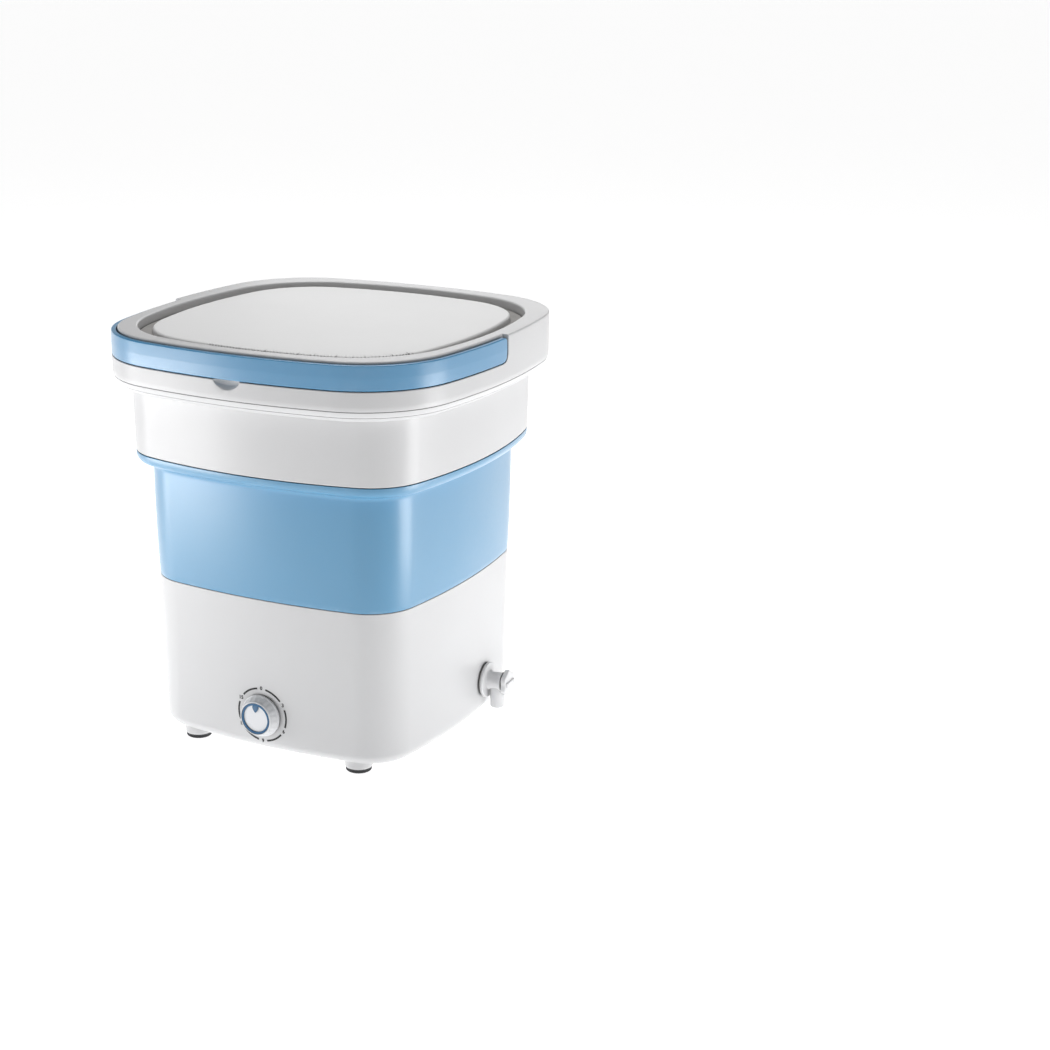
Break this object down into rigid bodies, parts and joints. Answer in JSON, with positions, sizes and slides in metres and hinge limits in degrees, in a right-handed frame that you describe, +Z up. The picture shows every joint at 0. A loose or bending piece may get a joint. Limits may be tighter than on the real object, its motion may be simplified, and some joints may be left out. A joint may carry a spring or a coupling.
{
  "type": "portable mini washer",
  "caption": "Folding portable washer: a squarish tub with a soft collapsible wall, lift-off lid, swinging carry handle, timer dial and side drain tap, over a geared bottom impeller.",
  "frame": {"origin": "middle of the footprint, on the surface the rubber feet stand on", "axes": "+Z up; front with the timer dial towards -Y; drain tap towards +X"},
  "size_m": [0.315, 0.315, 0.345],
  "materials": {
    "shell_white": "glossy moulded plastic",
    "tub_white": "smooth moulded plastic",
    "lid_white": "satin moulded plastic",
    "soft_blue": "satin thermoplastic elastomer",
    "gloss_blue": "glossy moulded plastic",
    "knob_white": "pearly moulded plastic",
    "deep_blue": "glossy moulded plastic",
    "tap_white": "moulded plastic",
    "foot_rubber": "matt",
    "seal_rubber": "matt",
    "natural_plastic": "natural acetal",
    "black_plastic": "fine texture",
    "lead_black": "satin insulation",
    "motor_grey": "plated sheet steel",
    "steel": "brushed",
    "brass": "turned",
    "board_green": "solder mask"
  },
  "bodies": {
    "base": {"base_shell": "shell_white", "bottom_cover": "shell_white", "inner_tub": "tub_white", "bellows": "soft_blue", "foot_front_left": "foot_rubber", "foot_front_right": "foot_rubber", "foot_rear_left": "foot_rubber", "foot_rear_right": "foot_rubber", "cover_screw_1": "steel", "cover_screw_2": "steel", "cover_screw_3": "steel", "cover_screw_4": "steel", "motor_case": "motor_grey", "motor_bracket": "steel", "gear_cover": "black_plastic", "shaft_bush": "brass", "shaft_bearing": "steel", "shaft_seal": "seal_rubber", "motor_screw_1": "steel", "motor_screw_2": "steel", "bracket_screw_1": "steel", "bracket_screw_2": "steel", "bracket_screw_3": "steel", "drain_hose": "seal_rubber", "tap_body": "tap_white", "tap_seal": "seal_rubber", "tap_nut": "tap_white", "timer_switch": "black_plastic", "switch_nut": "steel", "control_board": "board_green", "power_socket": "black_plastic", "socket_nut": "steel", "socket_lead": "lead_black", "motor_lead": "lead_black"},
    "agitator": {"impeller": "gloss_blue", "impeller_screw": "steel", "drive_shaft": "steel", "drive_gear": "natural_plastic"},
    "rotor": {"motor_pinion": "brass", "motor_shaft": "steel"},
    "tap_valve": {"tap_plug": "natural_plastic", "tap_handle": "tap_white"},
    "timer_dial": {"timer_shaft": "steel", "knob": "knob_white", "knob_cap": "knob_white", "knob_ring": "deep_blue"},
    "upper": {"upper_skirt": "shell_white", "rim": "shell_white"},
    "lid": {"lid": "lid_white"},
    "handle": {"handle": "gloss_blue", "pivot_clip_left": "steel", "pivot_clip_right": "steel"}
  },
  "joints": [
    {"name": "collapse", "type": "slide", "parent": "base", "child": "upper", "axis": [0, 0, -1], "range_m": [0, 0.168], "deforming": ["bellows"]},
    {"name": "lid_lift", "type": "slide", "parent": "upper", "child": "lid", "axis": [0, 0, 1], "range_m": [0, 0.05]},
    {"name": "handle_swing", "type": "hinge", "parent": "upper", "child": "handle", "pos_m": [0, -0.0074, 0.336], "axis": [-1, 0, 0], "range_deg": [0, 90]},
    {"name": "timer_turn", "type": "hinge", "parent": "base", "child": "timer_dial", "pos_m": [0, -0.12093, 0.04], "axis": [0, -1, 0], "range_deg": [0, 300]},
    {"name": "impeller_spin", "type": "hinge", "parent": "base", "child": "agitator", "pos_m": [0, 0, 0.06], "axis": [0, 0, 1], "continuous": true},
    {"name": "motor_spin", "type": "hinge", "parent": "base", "child": "rotor", "pos_m": [0, 0.036, 0.02], "axis": [0, 0, 1], "continuous": true},
    {"name": "tap_turn", "type": "hinge", "parent": "base", "child": "tap_valve", "pos_m": [0.11946, 0.04, 0.038], "axis": [0.9975, 0.0711, 0], "range_deg": [0, 90]}
  ],
  "couplings": [
    {"joint": "motor_spin", "follows": "impeller_spin", "ratio": -3}
  ]
}
